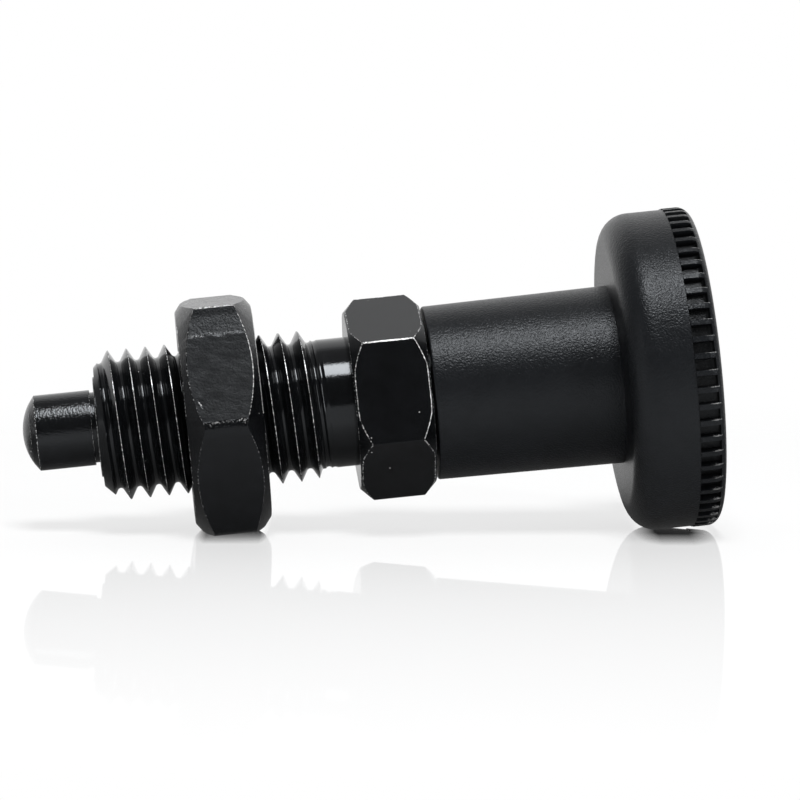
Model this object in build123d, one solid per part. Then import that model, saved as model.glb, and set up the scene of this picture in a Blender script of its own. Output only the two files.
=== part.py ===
from build123d import *
from itertools import pairwise
import math
import os

# Indexing plunger, non-locking, with a lock nut. Millimetres.
# The plunger's axis is X: the nose points to -X and the knob to +X. The origin
# is on the axis, in the collar face that seats on a plate. +Z is up.

# ---- Guide body: a turned and blackened steel barrel with a hexagon collar ----
THREAD_DIAMETER = 11.85        # crests of the M12 x 1.5 thread
THREAD_PITCH = 1.5
THREAD_DEPTH = 0.92
THREAD_ANGLE = 60              # degrees between the flanks
THREAD_CREST_WIDTH = 0.16
THREAD_FIRST_CREST = 2.74      # a crest on the top line, behind the front end
THREAD_STEPS = 16              # short straight pieces in each turn
THREAD_SINK = 0.1              # how far the ridge reaches into the core
SHANK_LENGTH = 20.0            # front end to the collar's face
FRONT_FACE_DIAMETER = 9.4      # flat end inside the lead-in chamfer
NECK_DIAMETER = 10.2
NECK_LENGTH = 2.8
RUNOUT_LENGTH = 0.35           # where the thread fades into the neck
COLLAR_ACROSS_FLATS = 13.85
COLLAR_LENGTH = 6.0
COLLAR_FACE_DIAMETER = 14.3    # flat end faces inside the 45 degree chamfers
COLLAR_TURN = 20.7             # degrees from the lock nut's hexagon
SPIGOT_DIAMETER = 9.8          # rear end that the knob's sleeve slides on
SPIGOT_ENGAGED = 1.5           # left in the sleeve when the knob is fully pulled
CHAMBER_DIAMETER = 7.4         # bore for the spring
REAR_WEB = 2.0                 # metal inside the collar that the spring rests on

# ---- Front guide bush, pressed into the barrel ----
BUSH_DIAMETER = 7.9
BUSH_LENGTH = 6.0
BUSH_PROUD = 0.15              # its rim stands out of the barrel

# ---- Plunger pin ----
NOSE_DIAMETER = 5.95
NOSE_REACH = 6.0               # tip beyond the barrel's front end
TIP_FACE_DIAMETER = 4.7        # where the tip's cone meets its dome
TIP_CONE_LENGTH = 0.45
TIP_DOME_HEIGHT = 0.65
TIP_DOME_STEPS = 2             # short cones that make up the dome
RELIEF_WIDTH = 0.6             # narrow groove where the nose meets the bush
RELIEF_DEPTH = 0.2
RELIEF_SHOWING = 0.35          # part of the groove in front of the bush's rim
STOP_THICKNESS = 1.5           # shoulder that the spring pushes on the bush
STEM_DIAMETER = 4.0
STEM_GRIP = 11.0               # length held in the knob
GRIP_GROOVE_WIDTH = 2.0        # one groove halfway along the grip
GRIP_GROOVE_DEPTH = 0.4
STROKE = 6.0                   # travel of pin and knob when the knob is pulled

# ---- Compression spring ----
WIRE_DIAMETER = 0.7
SPRING_DIAMETER = 7.0          # outside
SPRING_COILS = 8.5
END_COIL_PITCH = 0.75          # closed coil at each end
SPRING_END_GAP = 0.05
WIRE_SIDES = 6                 # the wire is drawn with flat sides
STEPS_PER_COIL = 10

# ---- Lock nut, a low hexagon nut ----
NUT_ACROSS_FLATS = 17.95
NUT_THICKNESS = 6.0
NUT_SETBACK = 6.8              # its front face behind the barrel's front end
NUT_FACE_DIAMETER = 16.7       # flat faces inside the chamfers
NUT_CHAMFER_LENGTH = 1.45      # at the corners
NUT_MOUTH = 0.5                # countersink of its bore

# ---- Moulded knob: a sleeve and a round toothed head in one piece ----
SLEEVE_MOUTH_DIAMETER = 13.74  # beside the collar; the sleeve tapers by its draft
SLEEVE_ROOT_DIAMETER = 14.12   # at the head
SLEEVE_LENGTH = 14.7
HEAD_DIAMETER = 25.2
HEAD_THICKNESS = 7.1
HEAD_BACK_RADIUS = 2.6
HEAD_BACK_STEPS = 5            # short cones that make up the rounding
HEAD_FRONT_CHAMFER = 0.45
HEAD_ROOT_CHAMFER = 0.3        # between sleeve and head
SMOOTH_LENGTH = 5.0            # head's back to the start of the teeth
TOOTH_COUNT = 60
TOOTH_PROUD = 0.08             # tooth tops stand out of the smooth side
TOOTH_GAP_SHARE = 0.64         # part of each pitch that is gap
TOOTH_GAP_LENGTH = 1.62
TOOTH_GAP_DEPTH = 0.5
TOOTH_GAP_RAMP = 0.35          # 45 degree rise of the gap's floor at its front end

# ---- Clearances between pieces ----
NOSE_CLEARANCE = 0.03          # nose in the bush, radial
STOP_CLEARANCE = 0.1           # stop shoulder in the chamber, radial
STEM_CLEARANCE = 0.03          # stem in the rear web, radial
SLEEVE_CLEARANCE = 0.1         # knob's sleeve on the spigot, radial
THREAD_CLEARANCE = 0.06        # lock nut on the thread, radial
STOP_GAP = 0.05                # stop shoulder to the bush at rest
KNOB_GAP = 0.2                 # knob's sleeve to the collar at rest
SPIGOT_END_GAP = 0.5           # spigot's end to the floor of the sleeve's bore

# ---- Stations along the axis, worked out from the sizes above ----
front_end = -SHANK_LENGTH
bush_front = front_end - BUSH_PROUD
bush_rear = bush_front + BUSH_LENGTH
stop_front = bush_rear + STOP_GAP
stop_rear = stop_front + STOP_THICKNESS
chamber_end = COLLAR_LENGTH - REAR_WEB
tip = front_end - NOSE_REACH
sleeve_mouth = COLLAR_LENGTH + KNOB_GAP
spigot_end = sleeve_mouth + STROKE + SPIGOT_ENGAGED
sleeve_floor = spigot_end + SPIGOT_END_GAP
stem_end = sleeve_floor + STEM_GRIP
head_back = sleeve_mouth + SLEEVE_LENGTH
head_front = head_back + HEAD_THICKNESS
teeth_start = head_back + SMOOTH_LENGTH
nut_front = front_end + NUT_SETBACK

SKIN = 1.0                     # how far a cutting shape reaches past a surface


def turned(*corners):
    """A solid turned about the plunger's axis, from (station, radius) corners."""
    return revolve(make_face(Polyline(*corners, close=True)), Axis.X)


def bar(radius, start, end):
    """A round bar on the plunger's axis."""
    return turned((start, 0), (start, radius), (end, radius), (end, 0))


def hexagon_bar(across_flats, start, end, turn=0):
    """A hexagon bar on the axis. Unturned, it has flats above and below."""
    section = RegularPolygon(across_flats / 2, 6, major_radius=False, rotation=turn)
    return extrude(Plane.YZ.offset(start) * section, end - start)


def corner_radius(across_flats):
    """Distance from the axis to a corner of a hexagon."""
    return across_flats / math.sqrt(3)


def chamfered_hexagon(across_flats, start, end, face_diameter, chamfer, turn=0):
    """A hexagon bar whose corners are turned down to a cone at both ends."""
    reach = corner_radius(across_flats)
    face = face_diameter / 2
    envelope = turned(
        (start, 0),
        (start, face),
        (start + chamfer, reach),
        (end - chamfer, reach),
        (end, face),
        (end, 0),
    )
    return hexagon_bar(across_flats, start, end, turn) & envelope


def ridge_section(turns):
    """Corners of the thread's ridge, so many turns past the first crest on the top line."""
    crest = THREAD_DIAMETER / 2
    foot = crest - THREAD_DEPTH - THREAD_SINK
    half_crest = THREAD_CREST_WIDTH / 2
    half_foot = half_crest + (crest - foot) * math.tan(math.radians(THREAD_ANGLE / 2))
    middle = front_end + THREAD_FIRST_CREST + THREAD_PITCH * turns
    corners = [(-half_foot, foot), (-half_crest, crest), (half_crest, crest), (half_foot, foot)]
    turn = Rotation(360 * turns, 0, 0)
    return [(turn * Pos(middle + along, 0, radius)).position for along, radius in corners]


def thread_ridge():
    """The thread's ridge as short wedges, from beyond the front end to the neck."""
    first = -math.ceil(THREAD_FIRST_CREST / THREAD_PITCH + 1)
    last = math.ceil((SHANK_LENGTH - NECK_LENGTH - THREAD_FIRST_CREST) / THREAD_PITCH + 1)
    steps = range(first * THREAD_STEPS, last * THREAD_STEPS + 1)
    sections = [ridge_section(step / THREAD_STEPS) for step in steps]
    return [ConvexPolyhedron(near + far) for near, far in pairwise(sections)]


def threaded_shank():
    """Core and ridge of the thread, with the lead-in at the front and the run-out at the neck."""
    crest = THREAD_DIAMETER / 2
    outside = crest + SKIN
    front_face = FRONT_FACE_DIAMETER / 2
    neck = NECK_DIAMETER / 2
    runout_slope = RUNOUT_LENGTH / (crest - neck)
    blank = turned(
        (front_end, 0),
        (front_end, front_face),
        (front_end + outside - front_face, outside),
        (-NECK_LENGTH - (outside - neck) * runout_slope, outside),
        (-NECK_LENGTH, neck),
        (-NECK_LENGTH, 0),
    )
    section = RegularPolygon(crest - THREAD_DEPTH, THREAD_STEPS, rotation=90)
    core = extrude(Plane.YZ.offset(front_end) * section, SHANK_LENGTH - NECK_LENGTH)
    return (core + thread_ridge()) & blank


def guide_body():
    """Threaded barrel, neck, hexagon collar and rear spigot, bored through."""
    neck = bar(NECK_DIAMETER / 2, -NECK_LENGTH, COLLAR_LENGTH)
    spigot = bar(SPIGOT_DIAMETER / 2, 0, spigot_end)
    collar = chamfered_hexagon(
        COLLAR_ACROSS_FLATS,
        0,
        COLLAR_LENGTH,
        COLLAR_FACE_DIAMETER,
        corner_radius(COLLAR_ACROSS_FLATS) - COLLAR_FACE_DIAMETER / 2,
        COLLAR_TURN,
    )
    bush_seat = bar(BUSH_DIAMETER / 2, front_end - SKIN, bush_rear)
    chamber = bar(CHAMBER_DIAMETER / 2, front_end - SKIN, chamber_end)
    stem_bore = bar(STEM_DIAMETER / 2 + STEM_CLEARANCE, chamber_end - SKIN, spigot_end + SKIN)
    return threaded_shank() + neck + collar + spigot - bush_seat - chamber - stem_bore


def front_bush():
    """Guide bush for the nose. Its rim stands out of the barrel's front end."""
    bore = NOSE_DIAMETER / 2 + NOSE_CLEARANCE
    return turned(
        (bush_front, bore),
        (bush_front, BUSH_DIAMETER / 2),
        (bush_rear, BUSH_DIAMETER / 2),
        (bush_rear, bore),
    )


def stem_corners():
    """Corners of the stem's end in the knob, from its groove to its tip."""
    stem = STEM_DIAMETER / 2
    middle = sleeve_floor + STEM_GRIP / 2
    near = middle - GRIP_GROOVE_WIDTH / 2
    far = middle + GRIP_GROOVE_WIDTH / 2
    groove = stem - GRIP_GROOVE_DEPTH
    return [(near, stem), (near, groove), (far, groove), (far, stem), (stem_end, stem), (stem_end, 0)]


def plunger_pin():
    """Domed nose, stop shoulder and stem, turned from one bar."""
    nose = NOSE_DIAMETER / 2
    relief = nose - RELIEF_DEPTH
    relief_start = bush_front - RELIEF_SHOWING
    relief_end = relief_start + RELIEF_WIDTH
    tip_face = TIP_FACE_DIAMETER / 2
    dome_edge = tip + TIP_DOME_HEIGHT
    shoulder = CHAMBER_DIAMETER / 2 - STOP_CLEARANCE
    dome_radius = (tip_face**2 + TIP_DOME_HEIGHT**2) / (2 * TIP_DOME_HEIGHT)
    dome_angle = math.degrees(math.asin(tip_face / dome_radius))
    dome = CenterArc((tip + dome_radius, 0), dome_radius, 180, -dome_angle)
    return turned(
        *(dome @ (step / TIP_DOME_STEPS) for step in range(TIP_DOME_STEPS + 1)),
        (dome_edge + TIP_CONE_LENGTH, nose),
        (relief_start, nose),
        (relief_start, relief),
        (relief_end, relief),
        (relief_end, nose),
        (stop_front, nose),
        (stop_front, shoulder),
        (stop_rear, shoulder),
        (stop_rear, STEM_DIAMETER / 2),
        *stem_corners(),
    )


def wire_section(station, turns):
    """Section of the spring's wire, so many turns from the spring's front end."""
    mean_radius = (SPRING_DIAMETER - WIRE_DIAMETER) / 2
    wire = RegularPolygon(WIRE_DIAMETER / 2, WIRE_SIDES, rotation=90)
    return Rotation(360 * turns, 0, 0) * Plane.XZ * Pos(station, mean_radius) * wire


def spring():
    """Compression spring, with a closed and ground coil at each end."""
    front = stop_rear + SPRING_END_GAP
    rear = chamber_end - SPRING_END_GAP
    active_pitch = (rear - front - 2 * END_COIL_PITCH) / (SPRING_COILS - 2)
    sections = []
    for step in range(round(SPRING_COILS * STEPS_PER_COIL) + 1):
        turns = step / STEPS_PER_COIL
        closed = min(turns, 1) + max(turns - SPRING_COILS + 1, 0)
        station = front + END_COIL_PITCH * closed + active_pitch * (turns - closed)
        sections.append(wire_section(station, turns))
    return loft(sections, ruled=True) & bar(SPRING_DIAMETER, front, rear)


def lock_nut():
    """Low hexagon nut on the thread, resting on one flat."""
    rear = nut_front + NUT_THICKNESS
    bore = THREAD_DIAMETER / 2 + THREAD_CLEARANCE
    blank = chamfered_hexagon(
        NUT_ACROSS_FLATS,
        nut_front,
        rear,
        NUT_FACE_DIAMETER,
        NUT_CHAMFER_LENGTH,
    )
    hole = turned(
        (nut_front, 0),
        (nut_front, bore + NUT_MOUTH),
        (nut_front + NUT_MOUTH, bore),
        (rear - NUT_MOUTH, bore),
        (rear, bore + NUT_MOUTH),
        (rear, 0),
    )
    return blank - hole


def tooth_gap():
    """Cutter for one gap in the knob's rim, centred on the side facing up."""
    top = HEAD_DIAMETER / 2 + SKIN
    floor = HEAD_DIAMETER / 2 + TOOTH_PROUD - TOOTH_GAP_DEPTH
    gap_end = teeth_start + TOOTH_GAP_LENGTH
    width = TOOTH_GAP_SHARE * math.pi * HEAD_DIAMETER / TOOTH_COUNT
    outline = Polyline(
        (teeth_start, floor),
        (gap_end - TOOTH_GAP_RAMP, floor),
        (gap_end, floor + TOOTH_GAP_RAMP),
        (gap_end, top),
        (teeth_start, top),
        close=True,
    )
    return extrude(Plane.XZ * make_face(outline), width / 2, both=True)


def knob():
    """Sleeve and toothed head, moulded on the stem."""
    mouth = SLEEVE_MOUTH_DIAMETER / 2
    root = SLEEVE_ROOT_DIAMETER / 2
    head = HEAD_DIAMETER / 2
    toothed = head + TOOTH_PROUD
    bore = SPIGOT_DIAMETER / 2 + SLEEVE_CLEARANCE
    back_centre = (head_back + HEAD_BACK_RADIUS, head - HEAD_BACK_RADIUS)
    back_round = CenterArc(back_centre, HEAD_BACK_RADIUS, 180, -90)
    sleeve = Bezier((sleeve_mouth, mouth), (head_back - HEAD_ROOT_CHAMFER, root))
    outline = Polyline(
        sleeve @ 1,
        (head_back, root + HEAD_ROOT_CHAMFER),
        *(back_round @ (step / HEAD_BACK_STEPS) for step in range(HEAD_BACK_STEPS + 1)),
        (teeth_start, head),
        (teeth_start, toothed),
        (head_front - HEAD_FRONT_CHAMFER, toothed),
        (head_front, toothed - HEAD_FRONT_CHAMFER),
        (head_front, 0),
        (sleeve_mouth, 0),
        sleeve @ 0,
    )
    solid = revolve(make_face(sleeve + outline), Axis.X)
    sleeve_bore = bar(bore, sleeve_mouth - SKIN, sleeve_floor)
    stem = turned((sleeve_floor - SKIN, 0), (sleeve_floor - SKIN, STEM_DIAMETER / 2), *stem_corners())
    first_gap = tooth_gap()
    gaps = [Rotation(360 * number / TOOTH_COUNT, 0, 0) * first_gap for number in range(TOOTH_COUNT)]
    return solid - sleeve_bore - stem - gaps


pieces = {
    "guide_body": guide_body(),
    "front_bush": front_bush(),
    "plunger_pin": plunger_pin(),
    "spring": spring(),
    "lock_nut": lock_nut(),
    "knob": knob(),
}

os.makedirs("parts", exist_ok=True)
for name, piece in pieces.items():
    export_step(piece, f"parts/{name}.step")
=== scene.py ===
import math

import bpy
import numpy as np
from mathutils import Matrix, Vector, noise


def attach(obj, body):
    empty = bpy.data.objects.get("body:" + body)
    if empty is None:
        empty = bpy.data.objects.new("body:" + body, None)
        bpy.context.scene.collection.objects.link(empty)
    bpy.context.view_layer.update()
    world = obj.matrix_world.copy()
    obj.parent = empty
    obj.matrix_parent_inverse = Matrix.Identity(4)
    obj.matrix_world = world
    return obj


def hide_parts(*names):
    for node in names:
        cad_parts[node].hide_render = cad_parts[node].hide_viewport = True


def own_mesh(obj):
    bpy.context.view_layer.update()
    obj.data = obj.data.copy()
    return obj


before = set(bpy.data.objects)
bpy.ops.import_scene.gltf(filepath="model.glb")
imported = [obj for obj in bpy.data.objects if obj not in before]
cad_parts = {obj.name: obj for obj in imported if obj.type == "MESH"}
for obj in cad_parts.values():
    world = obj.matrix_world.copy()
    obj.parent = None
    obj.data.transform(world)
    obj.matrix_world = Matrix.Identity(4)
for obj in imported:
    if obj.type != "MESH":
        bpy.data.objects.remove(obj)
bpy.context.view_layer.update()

# Sizes are in millimetres and become metres in build(). The axis is X, with the nose towards -X and +Z up.
# Angles round the axis start at +Z and grow towards -Y, the side that the camera sees.
MM = 0.001
TAU = 2 * math.pi
WELD = 5e-4                # points that fall in one cell of this size become one
GUARD = 0.04               # distance of the unworn points beside a rounding
ROUNDING_SHARE, GUARD_SHARE = 0.45, 0.49    # the most of a profile's side that a rounding and its guard take


# ---- Mesh helpers ----
def polar(x, radius, angle):
    """Points at station x, at a radius and an angle round the axis."""
    x, radius, angle = np.broadcast_arrays(x, radius, angle)
    return np.stack([x, -radius * np.sin(angle), radius * np.cos(angle)], -1)


def rounded(corners, steps=4, closed=True):
    """Profile through (x, radius, rounding) corners. Returns its points, and 1 for those on a rounded edge.
    A guard point on each side keeps the wear on the edge."""
    points, edges = [], []
    count = len(corners)
    for i, (x, r, rounding) in enumerate(corners):
        here = np.array([x, r], float)
        if rounding <= 0 or (not closed and i in (0, count - 1)):
            points.append(here)
            edges.append(0.0)
            continue
        before = np.array(corners[i - 1][:2], float) - here
        after = np.array(corners[(i + 1) % count][:2], float) - here
        long_a, long_b = max(np.linalg.norm(before), 1e-9), max(np.linalg.norm(after), 1e-9)
        turn = math.pi - math.acos(max(-1, min(1, float(before @ after) / (long_a * long_b))))
        full = rounding * math.tan(turn / 2)
        reach = min(full, ROUNDING_SHARE * long_a, ROUNDING_SHARE * long_b)
        start, end = here + before / long_a * reach, here + after / long_b * reach
        points.append(here + before / long_a * min(reach + GUARD, GUARD_SHARE * long_a))
        edges.append(0.0)
        weight = math.cos(turn / 2)
        for step in range(steps + 1):
            u = step / steps
            share = (1 - u) ** 2, 2 * u * (1 - u) * weight, u * u
            points.append((share[0] * start + share[1] * here + share[2] * end) / sum(share))
            edges.append(min(1.0, reach / max(full, 1e-9)))
        points.append(here + after / long_b * min(reach + GUARD, GUARD_SHARE * long_b))
        edges.append(0.0)
    return np.array(points), np.array(edges)


def build(name, patches, material, body, node, sharp=38):
    """One mesh from grids of points, in place of a CAD node. A patch is (points, wear), columns first.
    Wear is the edge attribute of the materials. Edges sharper than sharp, in degrees, are shaded as edges."""
    verts, wear, quads = [], [], []
    base = 0
    for points, edge in patches:
        columns, rows = points.shape[:2]
        verts.append(points.reshape(-1, 3))
        wear.append(np.broadcast_to(edge, (columns, rows)).reshape(-1))
        i, j = np.meshgrid(np.arange(columns - 1), np.arange(rows - 1), indexing="ij")
        corner = base + i * rows + j
        quads.append(np.stack([corner, corner + rows, corner + rows + 1, corner + 1], -1).reshape(-1, 4))
        base += columns * rows
    verts, wear, quads = np.concatenate(verts), np.concatenate(wear), np.concatenate(quads)
    cells = np.round(verts / WELD).astype(np.int64)
    _, first, inverse = np.unique(cells, axis=0, return_index=True, return_inverse=True)
    quads = inverse.reshape(-1)[quads]
    faces = []
    for quad in quads.tolist():
        face = [v for k, v in enumerate(quad) if v != quad[k - 1]]
        if len(set(face)) == len(face) > 2:
            faces.append(face)
    mesh = bpy.data.meshes.new(name)
    mesh.from_pydata((verts[first] * MM).tolist(), [], faces)
    mesh.attributes.new("edge", "FLOAT", "POINT").data.foreach_set("value", wear[first].astype(np.float32))
    mesh.polygons.foreach_set("use_smooth", [True] * len(mesh.polygons))
    mesh.set_sharp_from_angle(angle=math.radians(sharp))
    mesh.validate()
    mesh.materials.append(material)
    piece = bpy.data.objects.new(name, mesh)
    bpy.context.scene.collection.objects.link(piece)
    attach(piece, body)
    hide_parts(node)
    return piece


def lathe(corners, columns, closed=True):
    """Patch turned about the axis from (x, radius, rounding) corners."""
    points, edge = rounded(corners, closed=closed)
    if closed:
        points, edge = np.vstack([points, points[:1]]), np.append(edge, edge[0])
    angle = np.linspace(0, TAU, columns + 1)[:, None]
    return polar(points[None, :, 0], points[None, :, 1], angle), edge[None, :]


def smooth_step(low, high, value):
    """0 at low and before it, 1 at high and past it, smooth between. low may be the larger one."""
    u = np.clip((value - low) / (high - low), 0, 1)
    return u * u * (3 - 2 * u)


# ---- Materials ----
COOL = 0.91, 0.955, 1.0, 1.0    # tint of the gloss on the blackened and moulded surfaces
# Patterns are in features or cells per metre.
MOTTLE, CLOUD, SWELL = 700, 500, 1900
FLECKS = 800, 0.4          # pattern, and the share of its cells that hold a fleck
FLECK_SIZE = 0.02, 0.05    # radii where a fleck is full and where it ends, in cells
DULLED = 0.55              # roughness added to steel where the edge attribute is -1


def new_material(name, color, roughness, specular):
    material = bpy.data.materials.new(name)
    material.use_nodes = True
    nodes, links = material.node_tree.nodes, material.node_tree.links
    shader = nodes["Principled BSDF"]
    shader.inputs["Base Color"].default_value = (*color, 1)
    shader.inputs["Roughness"].default_value = roughness
    shader.inputs["Specular IOR Level"].default_value = specular
    shader.inputs["Specular Tint"].default_value = COOL
    return material, nodes, links, shader


def add_noise(nodes, links, scale, detail=3.0, roughness=0.55, seed=0.0):
    """Noise in the piece's own coordinates, as a value near 0.5. scale is in features per metre."""
    coords = nodes.new("ShaderNodeTexCoord")
    mapping = nodes.new("ShaderNodeMapping")
    mapping.inputs["Location"].default_value = (seed, seed, seed)
    texture = nodes.new("ShaderNodeTexNoise")
    texture.inputs["Scale"].default_value = scale
    texture.inputs["Detail"].default_value = detail
    texture.inputs["Roughness"].default_value = roughness
    links.new(coords.outputs["Object"], mapping.inputs["Vector"])
    links.new(mapping.outputs["Vector"], texture.inputs["Vector"])
    return texture.outputs["Fac"]


def remap(nodes, links, value, low, high, to_low, to_high):
    """Value from low to high becomes to_low to to_high, and stays level outside."""
    node = nodes.new("ShaderNodeMapRange")
    for socket, number in zip(("From Min", "From Max", "To Min", "To Max"), (low, high, to_low, to_high)):
        node.inputs[socket].default_value = number
    links.new(value, node.inputs["Value"])
    return node.outputs["Result"]


def maths(nodes, links, operation, a, b):
    """Math node with two inputs, each a socket or a number."""
    node = nodes.new("ShaderNodeMath")
    node.operation = operation
    for socket, value in zip(node.inputs, (a, b)):
        if isinstance(value, (int, float)):
            socket.default_value = value
        else:
            links.new(value, socket)
    return node.outputs[0]


def add_bump(nodes, links, shader, heights):
    """Chains bump nodes for (height, depth in metres) pairs into the shader's normal."""
    normal = None
    for height, depth in heights:
        bump = nodes.new("ShaderNodeBump")
        bump.inputs["Strength"].default_value = 1.0
        bump.inputs["Distance"].default_value = depth
        links.new(height, bump.inputs["Height"])
        if normal:
            links.new(normal, bump.inputs["Normal"])
        normal = bump.outputs["Normal"]
    links.new(normal, shader.inputs["Normal"])


def mix_color(nodes, links, factor, a, b):
    """Color a where the factor is 0 and b where it is 1, each a socket or (red, green, blue)."""
    node = nodes.new("ShaderNodeMix")
    node.data_type = "RGBA"
    links.new(factor, node.inputs[0])
    for socket, value in ((node.inputs[6], a), (node.inputs[7], b)):
        if isinstance(value, tuple):
            socket.default_value = (*value, 1)
        else:
            links.new(value, socket)
    return node.outputs[2]


def edge_value(nodes):
    attribute = nodes.new("ShaderNodeAttribute")
    attribute.attribute_name = "edge"
    return attribute.outputs["Fac"]


def wear_and_highlight_mask(nodes, links, scale, seed):
    """1 where an edge is painted bright, as wear or as a painted highlight. An edge attribute of 1 gives
    dots, 2 a full line and 0 nothing.
    """
    speckle = remap(nodes, links, add_noise(nodes, links, scale, 2.0, 0.6, seed=seed), 0.42, 0.64, 0, 1)
    return remap(nodes, links, maths(nodes, links, "ADD", edge_value(nodes), speckle), 1, 2, 0, 1)


def below_zero(nodes, links, full):
    """Grows from 0 to full as the edge attribute falls from 0 to -1."""
    return remap(nodes, links, edge_value(nodes), -1, 0, full, 0)


def fleck_mask(nodes, links, scale, share, seed):
    """1 in small round specks, in a share of the cells of a pattern."""
    coords = nodes.new("ShaderNodeTexCoord")
    mapping = nodes.new("ShaderNodeMapping")
    mapping.inputs["Location"].default_value = (seed, seed, seed)
    cells = nodes.new("ShaderNodeTexVoronoi")
    cells.inputs["Scale"].default_value = scale
    parts = nodes.new("ShaderNodeSeparateColor")
    links.new(coords.outputs["Object"], mapping.inputs["Vector"])
    links.new(mapping.outputs["Vector"], cells.inputs["Vector"])
    links.new(cells.outputs["Color"], parts.inputs["Color"])
    chosen = remap(nodes, links, parts.outputs["Red"], 1 - share, 1.02 - share, 0, 1)
    spot = remap(nodes, links, cells.outputs["Distance"], *FLECK_SIZE, 1, 0)
    return maths(nodes, links, "MULTIPLY", chosen, spot)


def steel(name, colors, roughness, specular, grain, grain_depth, dots=6000, bare=0.42, seed=0.0, detail=2.0):
    """Blackened steel: mottled colour, uneven gloss, fine grain, bright edges and a few bright flecks. The
    bright edges are rubbed steel and, where a piece weights them towards the lamps, painted highlights. It is
    duller where the edge attribute is below 0. grain and dots are patterns, grain_depth is in metres, and
    bare is the grey of the rubbed steel."""
    material, nodes, links, shader = new_material(name, colors[0], roughness, specular)
    mottle = remap(nodes, links, add_noise(nodes, links, MOTTLE, 4.0, seed=seed), 0.35, 0.7, 0, 1)
    color = mix_color(nodes, links, mottle, *colors)
    flecks = fleck_mask(nodes, links, *FLECKS, seed)
    # bright steel: wear and flecks, and painted highlights where a piece weights its edges towards the lamps
    wear_and_painted_highlight = maths(nodes, links, "MAXIMUM", wear_and_highlight_mask(nodes, links, dots, seed + 3), flecks)
    links.new(mix_color(nodes, links, wear_and_painted_highlight, color, (bare, bare, bare)), shader.inputs["Base Color"])
    half_wear_and_highlight = maths(nodes, links, "MULTIPLY", wear_and_painted_highlight, 0.5)
    links.new(half_wear_and_highlight, shader.inputs["Metallic"])
    fine = add_noise(nodes, links, grain, detail, 0.6, seed=seed + 7)
    gloss = remap(nodes, links, fine, 0.3, 0.7, roughness * 0.8, roughness * 1.2)
    gloss = maths(nodes, links, "ADD", gloss, below_zero(nodes, links, DULLED))
    links.new(maths(nodes, links, "MAXIMUM", gloss, half_wear_and_highlight), shader.inputs["Roughness"])
    add_bump(nodes, links, shader, [(fine, grain_depth)])
    return material


BLACK = (0.0028, 0.003, 0.0034), (0.0046, 0.005, 0.0057)
SCALE_BLACK = (0.0022, 0.0024, 0.0028), (0.0045, 0.0049, 0.0058)
BRIGHT = (0.5, 0.5, 0.5), (0.6, 0.6, 0.6)
BODY_STEEL = steel("body_steel", BLACK, 0.11, 0.35, grain=6500, grain_depth=5e-6, dots=7000, bare=0.9)
COLLAR_STEEL = steel(
    "collar_steel", BLACK, 0.2, 0.27, grain=8000, grain_depth=1.5e-6, dots=7000, bare=0.95, seed=11,
)
PIN_STEEL = steel(
    "pin_steel", BLACK, 0.17, 0.37, grain=8000, grain_depth=1.9e-5, dots=9000, bare=0.9, seed=21, detail=0.3,
)
BUSH_STEEL = steel(
    "bush_steel", BLACK, 0.2, 0.28, grain=6000, grain_depth=3e-6, dots=8000, bare=0.35, seed=31,
)
FORGED_STEEL = steel(
    "forged_steel", SCALE_BLACK, 0.22, 0.25, grain=5600, grain_depth=5e-5, dots=6500, bare=0.6, seed=41,
    detail=1.2,
)
SPRING_STEEL = steel("spring_steel", BRIGHT, 0.3, 0.5, grain=6000, grain_depth=3e-6, seed=51)


def plastic():
    """Moulded black plastic with the grain of an eroded mould. Where the edge attribute is below 0, in the
    gaps between the teeth, its colour is darkened, a painted shade; where it is above, a light line is
    painted, a painted highlight."""
    material, nodes, links, shader = new_material("knob_plastic", (0.007, 0.0077, 0.009), 0.28, 0.215)
    cloud = remap(nodes, links, add_noise(nodes, links, CLOUD), 0.3, 0.7, 0, 1)
    color = mix_color(nodes, links, cloud, (0.0061, 0.0068, 0.008), (0.008, 0.0088, 0.0102))
    # painted shade: the colour falls to near black in the gaps between the teeth
    color = mix_color(nodes, links, below_zero(nodes, links, 1), color, (0.0015, 0.0016, 0.0018))
    # painted highlight: a light line where the edge attribute is above 0
    painted_lip_highlight = wear_and_highlight_mask(nodes, links, 9000, 2)
    links.new(mix_color(nodes, links, painted_lip_highlight, color, (0.3, 0.3, 0.3)), shader.inputs["Base Color"])
    grain = add_noise(nodes, links, 6800, 0.9, 0.6, seed=5)
    swell = add_noise(nodes, links, SWELL, 2.0, 0.5, seed=9)
    gloss = remap(nodes, links, grain, 0.3, 0.7, 0.28, 0.38)
    links.new(maths(nodes, links, "ADD", gloss, below_zero(nodes, links, 0.1)), shader.inputs["Roughness"])
    add_bump(nodes, links, shader, [(swell, 1.5e-5), (grain, 4e-5)])
    return material


KNOB_PLASTIC = plastic()


# ---- Guide body: threaded barrel ----
PITCH = 1.5
CREST_RADIUS = 5.925
CREST_HALF = 0.04          # half the flat on the crest
ROOT_ROUNDING = 0.27
ROOT_START = PITCH / 2 - ROOT_ROUNDING * math.cos(math.radians(30))    # where the flank meets the rounding
FLANK = math.sqrt(3)       # radius lost for each millimetre along a flank
CREST_PHASE = -17.256      # a crest's station on the top line
FRONT_END = -20.0
FRONT_FACE_RADIUS = 4.7
NECK_RADIUS = 5.1
RUNOUT = -3.15, -2.8       # stations where the shoulder falls from crest to neck
LAST_CREST = 9
FADE = 1.15 * math.pi, 1.7 * math.pi    # angles after the last crest where the cut begins and ends to fade
# shallow second groove beside the last root: its middle from the crest, its half width and depth, and the
# angles before the last crest where it begins and is full
COVE_MIDDLE, COVE_HALF, COVE_DEPTH = 1.205, 0.235, 0.07
COVE_START, COVE_FULL = 0.6, 0.2
STRIP_END = -0.6
BORE_RADIUS = 3.95
COLUMNS = 160


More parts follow.
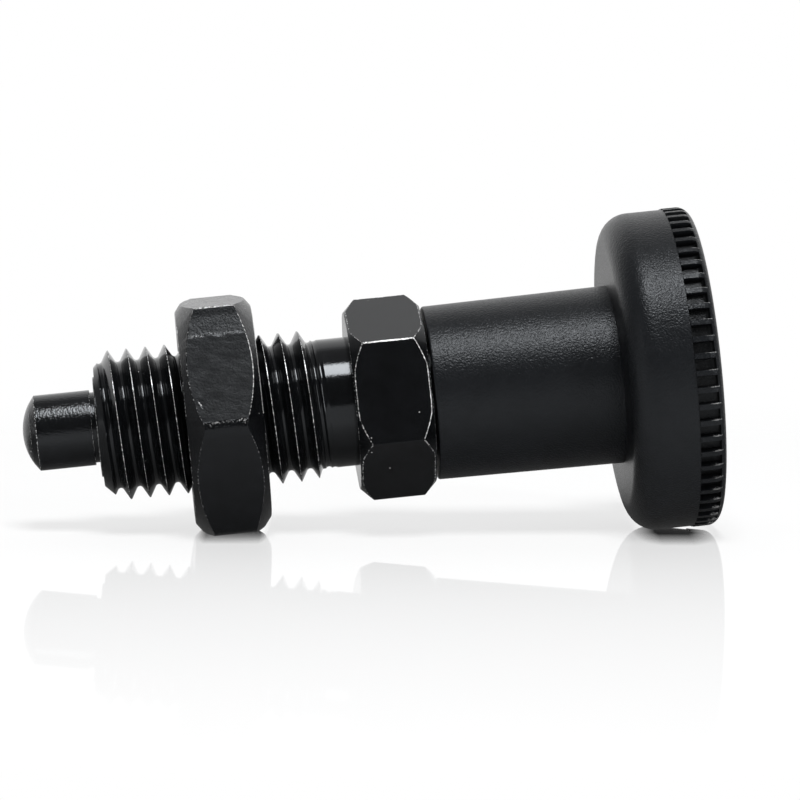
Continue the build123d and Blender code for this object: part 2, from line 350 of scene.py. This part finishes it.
def thread_radius(offset):
    """Radius of the thread's flank or root at a distance from the crest's middle, from 0 to one pitch."""
    distance = np.minimum(offset, PITCH - offset)
    flank = CREST_RADIUS - np.clip(distance - CREST_HALF, 0, None) * FLANK
    depth = (ROOT_START - CREST_HALF) * FLANK + ROOT_ROUNDING * 0.5
    inside = np.clip(ROOT_ROUNDING**2 - (PITCH / 2 - distance) ** 2, 0, None)
    root = CREST_RADIUS - depth + ROOT_ROUNDING - np.sqrt(inside)
    return np.where(distance < ROOT_START, flank, root)


def threaded_strip():
    """Outer surface from the front chamfer to the neck, as one strip that winds along the thread."""
    half = np.concatenate([
        np.linspace(0, CREST_HALF, 3),
        np.linspace(CREST_HALF, ROOT_START, 9)[1:],
        PITCH / 2 - ROOT_ROUNDING * np.cos(np.radians(np.linspace(30, 90, 7)))[1:],
    ])
    offset = np.concatenate([half, PITCH - half[-2::-1]])
    first = math.floor((FRONT_END - CREST_PHASE) / PITCH) - 1
    last = math.ceil((STRIP_END - CREST_PHASE) / PITCH) + 1
    wind = np.linspace(first * TAU, last * TAU, (last - first) * COLUMNS + 1)[:, None]
    station = CREST_PHASE + PITCH * wind / TAU + offset[None, :]
    # the cut fades out on the far side, one groove after the last crest
    cut_end = LAST_CREST * TAU
    cut = 1 - smooth_step(cut_end + FADE[0], cut_end + FADE[1], wind)
    blank = np.interp(station, RUNOUT, (CREST_RADIUS, NECK_RADIUS))
    thread = thread_radius(offset)[None, :]
    thread = np.where(blank < thread, blank, thread * cut + blank * (1 - cut))
    cove = np.clip(1 - ((offset[None, :] - COVE_MIDDLE) / COVE_HALF) ** 2, 0, None) * COVE_DEPTH
    cove = cove * smooth_step(cut_end - COVE_START, cut_end - COVE_FULL, wind) * cut
    radius = np.minimum(thread, blank - np.where(station > RUNOUT[1], cove, 0))
    radius = np.minimum(radius, FRONT_FACE_RADIUS + np.clip(station - FRONT_END, 0, None))
    # the middle of the crest is rubbed bright as wear, and brightest on the side that faces up and to the
    # camera, a painted highlight
    on_crest = np.clip(1 - np.minimum(offset, PITCH - offset) / CREST_HALF, 0, 1)[None, :]
    wear_and_painted_highlight = 1.0 + 0.35 * np.cos(wind - 0.9)
    edge = np.where(radius > CREST_RADIUS - 0.03, wear_and_painted_highlight, 0.0) * on_crest
    station = np.clip(station, FRONT_END, STRIP_END)
    radius = np.where(station <= FRONT_END, FRONT_FACE_RADIUS, radius)
    radius = np.where(station >= STRIP_END, NECK_RADIUS, radius)
    return polar(station, radius, wind), edge


def barrel():
    inside = lathe([
        (STRIP_END, NECK_RADIUS, 0),
        (5.9, NECK_RADIUS, 0),
        (5.9, 4.9, 0),
        (13.7, 4.9, 0.4),
        (13.7, 2.03, 0.1),
        (4.0, 2.03, 0.1),
        (4.0, 3.7, 0),
        (-14.15, 3.7, 0),
        (-14.15, BORE_RADIUS, 0),
        (FRONT_END, BORE_RADIUS, 0.05),
        (FRONT_END, FRONT_FACE_RADIUS, 0),
    ], COLUMNS, closed=False)
    patches = [threaded_strip(), inside]
    return build("threaded_barrel", patches, BODY_STEEL, "barrel", "guide_body")


# ---- Hexagons: collar and lock nut ----
def hexagon_outline(apothem, turn, rounding, per_flat, per_corner=5):
    """Angle, reach and corner flag round a hexagon with rounded corners, closed. rounding holds a radius for
    each corner."""
    rows, guard = [], 0.05
    half = apothem * math.tan(math.pi / 6)
    for k in range(6):
        middle = turn + k * math.pi / 3
        before, after = rounding[k] * math.tan(math.pi / 6), rounding[(k + 1) % 6] * math.tan(math.pi / 6)
        flat = np.linspace(-half + before + guard, half - after - guard, per_flat)
        for along in flat:
            rows.append((middle + math.atan2(along, apothem), math.hypot(along, apothem), 0.0))
        centre_out, centre_along = apothem - rounding[(k + 1) % 6], half - after
        for step in range(per_corner + 1):
            lean = math.pi / 3 * step / per_corner
            out = centre_out + rounding[(k + 1) % 6] * math.cos(lean)
            along = centre_along + rounding[(k + 1) % 6] * math.sin(lean)
            rows.append((middle + math.atan2(along, out), math.hypot(along, out), 1.0))
    rows.append((rows[0][0] + TAU, rows[0][1], rows[0][2]))
    return np.array(rows).T


def hexagon_patch(
    outline, start, end, face, bore, slope, edge_rounding, face_rounding, flat_rows=2, least=0.01
):
    """Chamfered hexagon ring. slope is the chamfer's length for each millimetre of radius, and least is its
    smallest height, in the middle of a flat."""
    columns, edges = [], []
    for angle, reach, corner in outline.T:
        rim = min(face, reach - least)
        run = (reach - rim) * slope
        corners = [
            (start, bore, 0),
            (start, rim, face_rounding),
            (start + run, reach, edge_rounding),
            *((start + run + (end - start - 2 * run) * k / flat_rows, reach, 0) for k in range(1, flat_rows)),
            (end - run, reach, edge_rounding),
            (end, rim, face_rounding),
            (end, bore, 0),
        ]
        points, edge = rounded(corners, 3, closed=False)
        on_flat = points[:, 1] > reach - 0.02
        columns.append(polar(points[:, 0], points[:, 1], angle))
        edges.append(np.maximum(edge, corner * on_flat))
    return np.array(columns), np.array(edges)


def ring_bore(start, end, bore, angles, mouth=0.0):
    """Bore of a ring, with a chamfer of the size of mouth at both ends."""
    ends = (end, bore + mouth), (end - mouth, bore), (start + mouth, bore), (start, bore + mouth)
    points = np.array(ends)
    return polar(points[None, :, 0], points[None, :, 1], angles[:, None]), 0.0


COLLAR_APOTHEM, COLLAR_LENGTH, COLLAR_FACE, COLLAR_BORE = 6.925, 6, 7.0, 4.95
COLLAR_TURN = math.radians(20.7)


def collar():
    outline = hexagon_outline(COLLAR_APOTHEM, COLLAR_TURN, [0.12, 0.12, 0.04, 0.12, 0.12, 0.12], 13)
    points, edge = hexagon_patch(
        outline, 0, COLLAR_LENGTH, COLLAR_FACE, COLLAR_BORE, 1.0,
        edge_rounding=0.07, face_rounding=0.05, least=0.15,
    )
    from_middle = points[..., 0] - COLLAR_LENGTH / 2
    # painted highlights, as bright steel where the lamps catch the edges: the upper corners' lines, and round
    # the facet that faces the camera, more at its rear end; none on the lower corners
    at_corner, upper = outline[2] > 0, np.cos(outline[0]) > 0
    line = np.where(at_corner & upper, 1.75, 1.0)[:, None]
    facing = (np.cos(outline[0] - COLLAR_TURN - math.pi / 3) > 0.85)[:, None]
    arc = np.where(facing, np.where(from_middle > 0, 1.3, 0.92), 0.65)
    arc = np.where(np.abs(from_middle) > 2.93, 0.55, arc)
    middle = np.abs(from_middle) < 1.9
    edge = edge * np.where(middle, line, arc) * np.where(at_corner & ~upper, 0.0, 1.0)[:, None]
    patches = [(points, edge), ring_bore(0, COLLAR_LENGTH, COLLAR_BORE, outline[0])]
    return build("hexagon_collar", patches, COLLAR_STEEL, "barrel", "guide_body")


NUT_FRONT, NUT_REAR, NUT_APOTHEM = -13.2, -7.2, 8.975
NUT_FACE, NUT_CHAMFER = 8.35, 1.45     # radius of the nut's round face, and the chamfer's length at a corner
NUT_BORE, NUT_MOUTH = 5.985, 0.5
NUT_CORNER = 5.18          # a corner's distance from the middle of a facet


def noise_at(a, b, c, scale, octaves=2):
    """Smooth noise from -1 to 1 for arrays of coordinates."""
    a, b, c = np.broadcast_arrays(a, b, c)
    places = zip(a.ravel(), b.ravel(), c.ravel())
    values = [noise.fractal(Vector(place) * scale, 0.8, 2.1, octaves) for place in places]
    return np.clip(np.array(values).reshape(a.shape), -1, 1)


def torn_lip(x):
    """Where the upper front facet breaks off, above the corner, as a distance down the facet."""
    return 4.68 + 0.25 * noise_at(x, 0, 6.0, 0.9) + 0.1 * noise_at(x, 0, 2.0, 3.5)


def ledge(x):
    """Where the low band under the upper corner ends, as a distance down the facet."""
    return -2.85 + 0.2 * noise_at(x, 0, 3.0, 0.6) + 0.06 * noise_at(x, 0, 9.0, 2.5)


def forging_depth(facet, x, along):
    """How far the forged surface lies below the true hexagon. along is measured down each facet from its
    middle."""
    swell = 0.016 * (1 + noise_at(x, along, facet * 7.0, 0.6))
    depth = swell + 0.008 * (1 + noise_at(x, along, facet * 5.0, 3.0, 3))
    front = facet == 1
    # a lower, tilted band under the top corner, deeper at the nose's side, ends in an uneven slope
    end = ledge(x)
    low = 0.07 - 0.008 * (x - NUT_FRONT) + 0.02 * np.clip(end - along, 0, None)
    band = low * (1 - smooth_step(end - 0.05, end + 0.2, along)) * smooth_step(-NUT_CORNER, -4.3, along)
    # faint ripples across the lower half
    sway = 2.5 * noise_at(x, along, 1.0, 0.5)
    ripple = 0.0018 * (1 + np.sin(TAU * along / 0.42 + sway)) * np.exp(-(((along - 1.3) / 1.0) ** 2))
    # a torn patch at the left edge, and a broken lip over the corner below
    torn = np.exp(-(((x + 11.9) / 0.4) ** 2) - ((along - 3.1) / 0.55) ** 2)
    torn = torn * (0.03 + 0.05 * np.abs(noise_at(x, along, 2.0, 4.0, 3)))
    lip = torn_lip(x)
    broken = np.where(front, 0.11 * smooth_step(lip - 0.02, lip + 0.09, along), 0)
    broken = np.where(facet == 2, 0.11 * smooth_step(-4.2, -NUT_CORNER, along), broken)
    inner = smooth_step(5.15, 4.1, np.abs(along))
    return (depth + front * (ripple + torn)) * inner + front * band + broken


def nut():
    corners = [0.35, 0.15, 0.9, 0.9, 0.35, 0.35]
    outline = hexagon_outline(NUT_APOTHEM, 0, corners, 100, 6)
    slope = NUT_CHAMFER / (2 * NUT_APOTHEM / math.sqrt(3) - NUT_FACE)
    points, edge = hexagon_patch(
        outline, NUT_FRONT, NUT_REAR, NUT_FACE, NUT_BORE + NUT_MOUTH, slope,
        edge_rounding=0.1, face_rounding=0.25, flat_rows=56,
    )
    x, radius = points[..., 0], np.hypot(points[..., 1], points[..., 2])
    angle = np.broadcast_to(outline[0][:, None], x.shape)
    facet = np.round(angle / (math.pi / 3)) % 6
    local = angle - np.round(angle / (math.pi / 3)) * math.pi / 3
    along, out = radius * np.sin(local), radius * np.cos(local)
    flat = smooth_step(0.3, 0.0, outline[1][:, None] - radius)
    out = out - forging_depth(facet, x, along) * flat
    bent = np.arctan2(along, out) + angle - local
    points = polar(x, np.hypot(along, out), bent)
    # bright steel: painted highlights along the rear of the upper front facet and on the corner above it, a
    # painted sheen of dots over the top flat, bright lines on the broken lip and the step, a nick at its left
    # and a chip as wear, and dots elsewhere
    upper_front, on_flat = facet == 1, flat > 0.99
    rear = x > (NUT_FRONT + NUT_REAR) / 2
    weight = np.where(upper_front & rear, 1.5, 0.62)
    nearest_corner = np.degrees(angle) // 60 * 60 + 30
    at_corner = np.abs(np.degrees(angle) - nearest_corner) < 4
    # the corner below the top flat is painted bright, a painted highlight; the other corners get none
    weight = np.where(at_corner, np.where(nearest_corner == 30, 1.15, 0.0), weight)
    nick = upper_front & (np.hypot((x + 12.0 - 0.5 * (along - 3.0)) / 0.07, (along - 3.0) / 0.4) < 1)
    dull = upper_front & on_flat & (along > -5.15) & (along < 4.6) & (edge == 0)
    streaks = noise_at(0.6 * x + along, 2.2 * along - 0.9 * x, 8.0, 1.2, 3)
    edge = np.where(dull, np.where(along < ledge(x), -0.35, -0.67) + 0.25 * streaks, edge * weight)
    edge = np.where(upper_front & (np.abs(along - torn_lip(x)) < 0.06) & on_flat, 0.8, edge)
    step_line = upper_front & on_flat & (np.abs(along - ledge(x) - 0.07) < 0.12)
    edge = np.where(step_line, 0.45 - 0.09 * (x - NUT_FRONT), edge)
    # dots over the top flat: a painted sheen that lightens it
    edge = np.where((facet == 0) & on_flat & (edge == 0), 0.5, edge)
    chipped = upper_front & (np.hypot(x + 8.75, along - 4.75) < 0.14)
    edge = np.where(nick | chipped, 1.0, edge)
    patches = [(points, edge), ring_bore(NUT_FRONT, NUT_REAR, NUT_BORE, outline[0], NUT_MOUTH)]
    return build("forged_lock_nut", patches, FORGED_STEEL, "nut", "lock_nut", 50)


# ---- Pin, bush and spring ----
DOME_TIP, DOME_EDGE, DOME_HEIGHT = -26, 2.35, 0.65    # station of the tip, radius at the foot, and height


def pin():
    dome = []
    radius = (DOME_EDGE**2 + DOME_HEIGHT**2) / (2 * DOME_HEIGHT)
    for lean in np.linspace(0, math.asin(DOME_EDGE / radius), 10)[:-1]:
        dome.append((DOME_TIP + radius * (1 - math.cos(lean)), radius * math.sin(lean), 0))
    points, edge = lathe(dome + [
        (DOME_TIP + DOME_HEIGHT, DOME_EDGE, 0.08),
        (-24.9, 2.975, 0.08),
        (-20.5, 2.975, 0.04),
        (-20.5, 2.775, 0),
        (-19.9, 2.775, 0),
        (-19.9, 2.975, 0.04),
        (-14.1, 2.975, 0),
        (-14.1, 3.6, 0.1),
        (-12.6, 3.6, 0.1),
        (-12.6, 2.0, 0),
        (18.7, 2.0, 0),
        (18.7, 1.6, 0),
        (20.7, 1.6, 0),
        (20.7, 2.0, 0),
        (25.2, 2.0, 0),
        (25.2, 0, 0),
    ], 160, closed=False)
    dome_face = (points[..., 0] < DOME_TIP + DOME_HEIGHT - 0.01) & (edge <= 0)
    edge = np.where(dome_face, -0.05, 0.62 * edge)
    return build("domed_pin", [(points, edge)], PIN_STEEL, "plunger", "plunger_pin")


def bush():
    body = lathe([
        (-20.15, 3.005, 0.05),
        (-20.15, 3.95, 0.06),
        (-14.15, 3.95, 0),
        (-14.15, 3.005, 0),
    ], 160)
    return build("guide_bush", [body], BUSH_STEEL, "barrel", "front_bush")


def spring():
    """Round wire wound from ground end to ground end, with a closed coil at each."""
    coils, wire, mean = 8.5, 0.35, 3.15
    front, rear = -12.55, 3.95
    turns = np.linspace(0, coils, int(coils * 40) + 1)
    closed = np.minimum(turns, 1) + np.maximum(turns - coils + 1, 0)
    middle = front + 0.75 * closed + (rear - front - 1.5) / (coils - 2) * (turns - closed)
    around = np.linspace(0, TAU, 17)
    station = np.clip(middle[:, None] + wire * np.sin(around)[None, :], front, rear)
    radius = mean + wire * np.cos(around)[None, :]
    points = polar(station, radius, -TAU * turns[:, None])
    caps = []
    for end in (0, -1):
        centre = np.broadcast_to(points[end].mean(0), points[end].shape)
        pair = (centre, points[end]) if end == 0 else (points[end], centre)
        caps.append((np.stack(pair), 0.0))
    piece = build("coil_spring", [(points, 0.0), *caps], SPRING_STEEL, "barrel", "spring", 50)
    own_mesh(piece)
    return piece


# ---- Knob ----
def knob():
    """Sleeve and toothed head. The teeth are columns whose profile dips between them."""
    teeth, gap_share = 60, 0.64
    sleeve_start, back, front = 6.2, 20.9, 28.0    # the sleeve's mouth and the head's two faces
    head, proud, depth = 12.6, 0.08, 0.5           # the head's radius, the teeth's rise and the gaps' depth
    start, end, ramp = 25.9, 27.52, 0.45           # the gaps' two ends and the rounding at their front end
    outer = rounded([
        (sleeve_start, 5.0, 0.1),
        (sleeve_start, 6.87, 0.2),
        (back, 7.06, 0),
        (back, head, 2.6),
        (start - 0.02, head, 0),
        (start + 0.02, head + proud, 0),
        (front, head + proud, 1.0),
        (front, 0, 0),
    ], 10, closed=False)[0]
    dense = [outer[0]]
    for a, b in zip(outer[:-1], outer[1:]):
        length = np.linalg.norm(b - a)
        beside_gaps = max(a[0], b[0]) > start - 0.1 and min(a[0], b[0]) < end + 0.3
        inside_band = beside_gaps and min(a[1], b[1]) > 11.5
        step = 0.07 if inside_band else 1.2
        pieces = max(1, int(math.ceil(length / step)))
        dense += [a + (b - a) * k / pieces for k in range(1, pieces + 1)]
    profile = np.array(dense)
    stations, radii = profile[:, 0], profile[:, 1]
    pitch = TAU / teeth
    half = pitch * gap_share / 2
    wall, margin = 0.03 / head, 0.05 / head
    local = np.array([
        -half - wall, -half + wall, -half * 0.8, -half * 0.4, 0, half * 0.4, half * 0.8, half - wall,
        half + wall, half + wall + margin, pitch - half - wall - margin,
    ])
    angle = (np.arange(teeth)[:, None] * pitch + local[None, :]).reshape(-1)
    angle = np.append(angle, angle[0] + TAU)
    offset = (angle + pitch / 2) % pitch - pitch / 2
    dip = 1 - smooth_step(half - wall, half + wall, np.abs(offset))
    opened = smooth_step(start - 0.02, start + 0.02, stations)
    along = opened * (1 - smooth_step(end - 0.03, end + 0.03, stations))
    rise = np.clip(stations - (end - ramp), 0, ramp)
    floor = head + proud - depth + ramp - np.sqrt(np.clip(ramp**2 - rise**2, 0, None))
    band = (radii > 11.5) & (stations > start - 0.1)
    target = np.where(band, np.minimum(floor, radii), radii)
    share = dip[:, None] * (along * band)[None, :]
    radius = radii[None, :] * (1 - share) + target[None, :] * share
    outside = polar(stations[None, :], radius, angle[:, None])
    bore = [(sleeve_start, 5.0, 0), (14.2, 5.0, 0), (14.2, 2.0, 0), (25.2, 2.0, 0), (25.2, 0, 0)]
    inside = rounded(bore, closed=False)[0]
    inner = polar(inside[::-1, 0][None, :], inside[::-1, 1][None, :], angle[:, None])
    # painted shade darkens the gaps, and a painted highlight runs along the edge below each, near their front
    # ends
    edge_below = (np.abs(offset - half - wall) < 0.5 * wall)[:, None]
    painted_lip_highlight = edge_below * smooth_step(end - 1.0, end - 0.3, stations)[None, :] * (stations < end + 0.1)
    edge = np.where(band & (stations < front - 0.1), 1.8 * painted_lip_highlight - share * (1 - painted_lip_highlight), 0)
    patches = [(outside, edge), (inner, 0.0)]
    return build("knob_moulding", patches, KNOB_PLASTIC, "plunger", "knob", 42)


barrel()
collar()
nut()
pin()
bush()
spring()
knob()


# ---- Camera ----
IMAGE, SENSOR = 800, 36    # width in pixels and in millimetres
F_PIXELS = 4285.0
DISTANCE = 338.75
SHIFT_X = -3.015
CENTRE_X = 0.83            # station on the axis that the camera turns about
TURN_X, TURN_Y, TURN_Z = math.radians(5.530), math.radians(-5.490), math.radians(3.858)
view = Matrix.Rotation(TURN_X, 3, "X") @ Matrix.Rotation(TURN_Z, 3, "Z") @ Matrix.Rotation(TURN_Y, 3, "Y")
right, away, up = (view.transposed() @ Vector(axis) for axis in ((1, 0, 0), (0, 1, 0), (0, 0, 1)))
camera = bpy.data.objects.new("camera", bpy.data.cameras.new("camera"))
camera.data.sensor_width = SENSOR
camera.data.lens = F_PIXELS / IMAGE * SENSOR
camera.data.clip_start, camera.data.clip_end = 0.01, 20
place = (view.transposed() @ Vector((-SHIFT_X, -DISTANCE, 0)) + Vector((CENTRE_X, 0, 0))) * MM
camera.matrix_world = Matrix.Translation(place) @ Matrix((right, up, -away)).transposed().to_4x4()
bpy.context.scene.collection.objects.link(camera)
bpy.context.scene.camera = camera


# ---- Floor, light and world ----
# The plunger lies on the edge of its nut and the rim of its knob, so the floor leans against the model.
low_nut, low_knob = Vector((-12.75, 0, -8.975)), Vector((23.5, 0, -12.6))
floor_normal = (low_knob - low_nut).cross(Vector((0, 1, 0))).normalized()
if floor_normal.z < 0:
    floor_normal = -floor_normal
studio_right = (right - floor_normal * right.dot(floor_normal)).normalized()
studio_away = floor_normal.cross(studio_right)
studio = Matrix((studio_right, studio_away, floor_normal)).transposed()


# The floor's stations are in metres from its middle, to the right and towards the back. Four numbers are two
# stations towards the back and the strengths there.
FLOOR_HALF = 1.5
# strength of its mirror image, everywhere and where the object touches it
MIRROR_FADE = -0.1, -0.012, 0.0, 0.46
MIRROR_AT_CONTACT = -0.012, -0.002, 0.0, 2.2
# the places to the right where the nut and the knob touch it: middle, half width and the fade at each side
CONTACTS = (-0.0156, 0.0021, 0.0009), (0.019, 0.0012, 0.0026)
FLOOR_WHITE = 0.66         # part of the near floor that stays white under a shadow
# its glow in the object's own reflections, in front of and behind a dim middle under the object, a painted
# shadow
FRONT_IN_GLOSS = -0.02, -0.004, 0.9, 0.15
BACK_IN_GLOSS = 0.012, 0.03, 0.15, 0.85


def stage_material():
    """Pale glossy board. It keeps a soft shadow and carries a faint mirror image that fades towards the
    front. It turns to plain white away from the object, as the camera and reflections see it. In reflections
    it glows, dim under the object as a painted shadow."""
    material, nodes, links, shader = new_material("pale_board", (0.88, 0.885, 0.89), 0.6, 0.0)
    coords = nodes.new("ShaderNodeTexCoord")
    path = nodes.new("ShaderNodeLightPath")
    camera_ray = path.outputs["Is Camera Ray"]
    glossy_ray, transmission_ray = path.outputs["Is Glossy Ray"], path.outputs["Is Transmission Ray"]
    reflected = maths(nodes, links, "MAXIMUM", glossy_ray, transmission_ray)
    away = nodes.new("ShaderNodeVectorMath")
    away.operation = "LENGTH"
    links.new(coords.outputs["Object"], away.inputs[0])
    distance = away.outputs["Value"]
    far = remap(nodes, links, distance, 0.04, 0.11, FLOOR_WHITE, 1.0)
    white = nodes.new("ShaderNodeEmission")
    board = nodes.new("ShaderNodeMixShader")
    links.new(maths(nodes, links, "MULTIPLY", far, camera_ray), board.inputs["Fac"])
    links.new(shader.outputs["BSDF"], board.inputs[1])
    links.new(white.outputs["Emission"], board.inputs[2])
    parts = nodes.new("ShaderNodeSeparateXYZ")
    links.new(coords.outputs["Object"], parts.inputs["Vector"])
    # in reflections the board is a glow, dimmed in a band under the object: a painted shadow
    pale = nodes.new("ShaderNodeEmission")
    front = remap(nodes, links, parts.outputs["Y"], *FRONT_IN_GLOSS)
    back = remap(nodes, links, parts.outputs["Y"], *BACK_IN_GLOSS)
    beyond = remap(nodes, links, distance, 0.1, 0.4, 0.0, 1.0)
    level = maths(nodes, links, "MAXIMUM", maths(nodes, links, "MAXIMUM", front, back), beyond)
    links.new(level, pale.inputs["Strength"])
    reflected_glow_with_painted_shadow = nodes.new("ShaderNodeMixShader")
    links.new(reflected, reflected_glow_with_painted_shadow.inputs["Fac"])
    links.new(board.outputs["Shader"], reflected_glow_with_painted_shadow.inputs[1])
    links.new(pale.outputs["Emission"], reflected_glow_with_painted_shadow.inputs[2])
    glossy = nodes.new("ShaderNodeBsdfGlossy")
    glossy.inputs["Roughness"].default_value = 0.02
    glossy.inputs["Color"].default_value = (1, 1, 1, 1)
    fade = remap(nodes, links, parts.outputs["Y"], *MIRROR_FADE)
    at_contact = remap(nodes, links, parts.outputs["Y"], *MIRROR_AT_CONTACT)
    for middle, reach, side in CONTACTS:
        aside = maths(nodes, links, "SUBTRACT", parts.outputs["X"], middle)
        aside = maths(nodes, links, "ABSOLUTE", aside, 0)
        inside = remap(nodes, links, aside, reach, reach + side, 1.0, 0.0)
        fade = maths(nodes, links, "MAXIMUM", fade, maths(nodes, links, "MULTIPLY", at_contact, inside))
    fresnel = nodes.new("ShaderNodeFresnel")
    fresnel.inputs["IOR"].default_value = 1.45
    strength = maths(nodes, links, "MULTIPLY", fade, fresnel.outputs["Fac"])
    mirrored = nodes.new("ShaderNodeMixShader")
    links.new(maths(nodes, links, "MULTIPLY", strength, camera_ray), mirrored.inputs["Fac"])
    links.new(reflected_glow_with_painted_shadow.outputs["Shader"], mirrored.inputs[1])
    links.new(glossy.outputs["BSDF"], mirrored.inputs[2])
    links.new(mirrored.outputs["Shader"], nodes["Material Output"].inputs["Surface"])
    return material


floor = bpy.data.objects.new("floor", bpy.data.meshes.new("floor"))
floor_corners = [(x * FLOOR_HALF, y * FLOOR_HALF, 0) for x, y in ((-1, -1), (1, -1), (1, 1), (-1, 1))]
floor.data.from_pydata(floor_corners, [], [(0, 1, 2, 3)])
floor.data.materials.append(stage_material())
floor.matrix_world = Matrix.Translation((low_nut + low_knob) / 2 * MM) @ studio.to_4x4()
bpy.context.scene.collection.objects.link(floor)


def lamp(name, azimuth, elevation, distance, width, height, radiance):
    """Area lamp aimed at the object, in degrees and metres. Azimuth 0 is the camera's side and grows to the
    right."""
    a, e = math.radians(azimuth), math.radians(elevation)
    towards = studio @ Vector((math.sin(a) * math.cos(e), -math.cos(a) * math.cos(e), math.sin(e)))
    data = bpy.data.lights.new(name, "AREA")
    data.shape = "RECTANGLE"
    data.size, data.size_y = width, height
    data.energy = radiance * math.pi * width * height
    light = bpy.data.objects.new(name, data)
    across = floor_normal.cross(towards).normalized()
    top = towards.cross(across)
    turned = Matrix((across, top, towards)).transposed().to_4x4()
    light.matrix_world = Matrix.Translation(towards * distance) @ turned
    bpy.context.scene.collection.objects.link(light)


lamp("key", 6, 67, distance=0.5, width=0.16, height=0.2, radiance=21)
lamp("right_side", 48, 20, distance=0.5, width=0.07, height=0.4, radiance=7)
lamp("left_side", -55, 20, distance=0.5, width=0.05, height=0.2, radiance=4)

# The world is white for the camera. For the object it is grey in front and white behind: two cosines of the
# angle to straight back, and the strengths there.
SKY_IN_FRONT = -0.25, 0.0, 0.1, 0.3
SKY_BEHIND = 0.3, 0.6, 0.0, 1.0
world = bpy.data.worlds.new("studio")
world.use_nodes = True
nodes, links = world.node_tree.nodes, world.node_tree.links
coords = nodes.new("ShaderNodeTexCoord")
facing = nodes.new("ShaderNodeVectorMath")
facing.operation = "DOT_PRODUCT"
facing.inputs[1].default_value = studio_away
links.new(coords.outputs["Generated"], facing.inputs[0])
in_front = remap(nodes, links, facing.outputs["Value"], *SKY_IN_FRONT)
behind = remap(nodes, links, facing.outputs["Value"], *SKY_BEHIND)
level = maths(nodes, links, "MAXIMUM", in_front, behind)
light_path = nodes.new("ShaderNodeLightPath")
strength = nodes.new("ShaderNodeMix")
strength.data_type = "FLOAT"
links.new(light_path.outputs["Is Camera Ray"], strength.inputs[0])
links.new(level, strength.inputs[2])
strength.inputs[3].default_value = 1.0
background = nodes["Background"]
background.inputs["Color"].default_value = (1, 1, 1, 1)
links.new(strength.outputs[0], background.inputs["Strength"])
bpy.context.scene.world = world
bpy.context.scene.view_settings.view_transform = "Standard"
